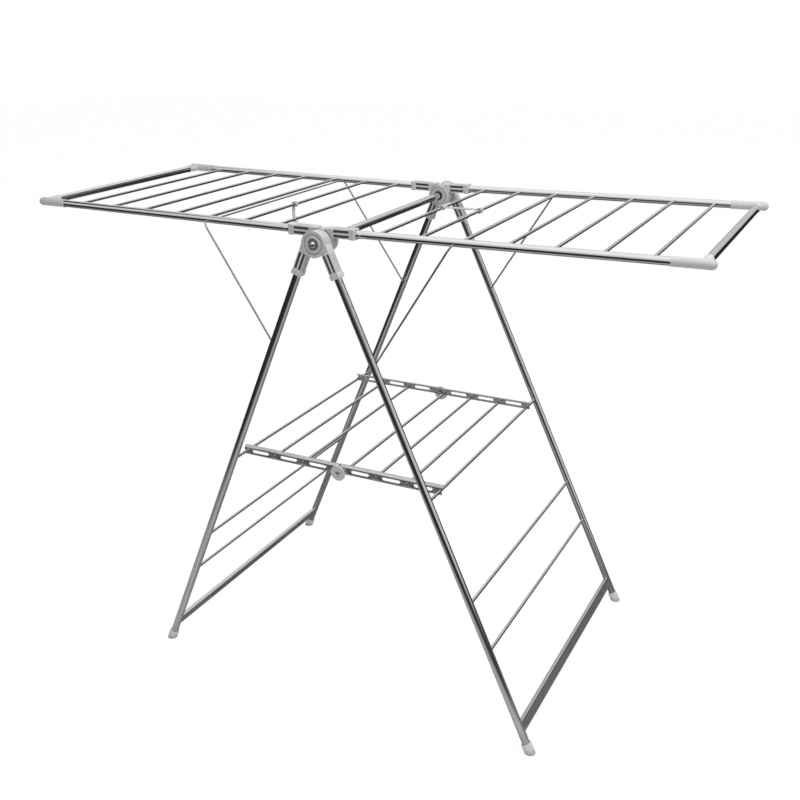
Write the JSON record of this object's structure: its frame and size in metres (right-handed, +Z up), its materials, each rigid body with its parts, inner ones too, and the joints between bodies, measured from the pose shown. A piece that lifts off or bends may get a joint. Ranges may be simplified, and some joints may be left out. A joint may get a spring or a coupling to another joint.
{
  "type": "clothes drying rack",
  "caption": "Folding clothes airer: two hinged tube leg frames, two rodded gull wings propped by wire stays, a folding middle shelf and grey plastic hubs.",
  "frame": {"origin": "on the floor under the hub axis, midway between the front and rear legs", "axes": "+Z up, +X out along the right wing, +Y from the front hub to the rear hub"},
  "size_m": [1.5346, 0.6244, 1.0354],
  "materials": {
    "tube_steel": "polished stainless steel tube",
    "stretcher_steel": "polished stainless steel flat tube",
    "rod_steel": "drawn stainless steel rod",
    "stay_wire": "drawn stainless steel wire",
    "rail_steel": "stamped stainless steel strip",
    "bright_fixings": "bright plated",
    "grey_plastic": "moulded light grey plastic, fine grain",
    "foot_plastic": "moulded light grey plastic, fine grain",
    "lock_plastic": "moulded grey plastic"
  },
  "bodies": {
    "left_leg_frame": {"axle_tube": "tube_steel", "hub_bolt": "bright_fixings", "hub_cap_front": "grey_plastic", "hub_cap_nuts": "bright_fixings", "hub_cap_rear": "grey_plastic", "hub_inner_cover_front": "grey_plastic", "hub_inner_cover_rear": "grey_plastic", "hub_spacers": "grey_plastic", "left_foot_front": "foot_plastic", "left_foot_rear": "foot_plastic", "left_leg_hub_front": "grey_plastic", "left_leg_hub_rear": "grey_plastic", "left_leg_rods": "rod_steel", "left_leg_tube_front": "tube_steel", "left_leg_tube_rear": "tube_steel", "left_stretcher": "stretcher_steel"},
    "right_leg_frame": {"right_foot_front": "foot_plastic", "right_foot_rear": "foot_plastic", "right_leg_hub_front": "grey_plastic", "right_leg_hub_rear": "grey_plastic", "right_leg_rods": "rod_steel", "right_leg_tube_front": "tube_steel", "right_leg_tube_rear": "tube_steel", "right_stretcher": "stretcher_steel"},
    "left_wing": {"left_wing_corner_front": "grey_plastic", "left_wing_corner_rear": "grey_plastic", "left_wing_end_tube": "tube_steel", "left_wing_hub_front": "grey_plastic", "left_wing_hub_rear": "grey_plastic", "left_wing_rivets": "bright_fixings", "left_wing_rods": "rod_steel", "left_wing_tube_front": "tube_steel", "left_wing_tube_rear": "tube_steel"},
    "right_wing": {"right_wing_corner_front": "grey_plastic", "right_wing_corner_rear": "grey_plastic", "right_wing_end_tube": "tube_steel", "right_wing_hub_front": "grey_plastic", "right_wing_hub_rear": "grey_plastic", "right_wing_rivets": "bright_fixings", "right_wing_rods": "rod_steel", "right_wing_tube_front": "tube_steel", "right_wing_tube_rear": "tube_steel"},
    "left_stay": {"left_stay": "stay_wire"},
    "right_stay": {"right_stay": "stay_wire"},
    "left_shelf": {"left_shelf_pivot_rod": "rod_steel", "left_shelf_rail_front": "rail_steel", "left_shelf_rail_rear": "rail_steel", "left_shelf_rods": "rod_steel", "shelf_hinge_plate_front": "grey_plastic", "shelf_hinge_plate_rear": "grey_plastic", "shelf_hinge_rivets": "bright_fixings"},
    "right_shelf": {"right_shelf_pivot_rod": "rod_steel", "right_shelf_rail_front": "rail_steel", "right_shelf_rail_rear": "rail_steel", "right_shelf_rods": "rod_steel"},
    "left_catch": {"left_lock_catch": "lock_plastic"},
    "right_strap": {"right_lock_strap": "lock_plastic"}
  },
  "joints": [
    {"name": "leg_fold", "type": "hinge", "parent": "left_leg_frame", "child": "right_leg_frame", "pos_m": [0, 0, 1], "axis": [0, 1, 0], "range_deg": [0, 46]},
    {"name": "left_wing_fold", "type": "hinge", "parent": "left_leg_frame", "child": "left_wing", "pos_m": [0, 0, 1], "axis": [0, -1, 0], "range_deg": [0, 65.5]},
    {"name": "right_wing_fold", "type": "hinge", "parent": "right_leg_frame", "child": "right_wing", "pos_m": [0, 0, 1], "axis": [0, 1, 0], "range_deg": [0, 65.5]},
    {"name": "left_stay_swing", "type": "hinge", "parent": "left_wing", "child": "left_stay", "pos_m": [-0.28584, 0, 1.01699], "axis": [0, 1, 0], "range_deg": [0, 123.93]},
    {"name": "right_stay_swing", "type": "hinge", "parent": "right_wing", "child": "right_stay", "pos_m": [0.28584, 0, 1.01699], "axis": [0, -1, 0], "range_deg": [0, 123.93]},
    {"name": "left_shelf_fold", "type": "hinge", "parent": "left_leg_frame", "child": "left_shelf", "pos_m": [-0.2367, 0, 0.497], "axis": [0, -1, 0], "range_deg": [0, 63.17]},
    {"name": "shelf_middle_fold", "type": "hinge", "parent": "left_shelf", "child": "right_shelf", "pos_m": [0, 0, 0.4915], "axis": [0, 1, 0], "range_deg": [0, 172.33]},
    {"name": "left_catch_swing", "type": "hinge", "parent": "left_wing", "child": "left_catch", "pos_m": [-0.20766, 0, 1.02018], "axis": [0, 1, 0], "range_deg": [-150, 150]},
    {"name": "right_strap_swing", "type": "hinge", "parent": "right_wing", "child": "right_strap", "pos_m": [0.20766, 0, 1.02018], "axis": [0, 1, 0], "range_deg": [0, 165]}
  ],
  "couplings": [
    {"joint": "left_stay_swing", "follows": "left_wing_fold", "ratio": 1.8919},
    {"joint": "right_stay_swing", "follows": "right_wing_fold", "ratio": 1.8919},
    {"joint": "left_shelf_fold", "follows": "leg_fold", "ratio": 1.373},
    {"joint": "shelf_middle_fold", "follows": "leg_fold", "ratio": 3.746}
  ]
}
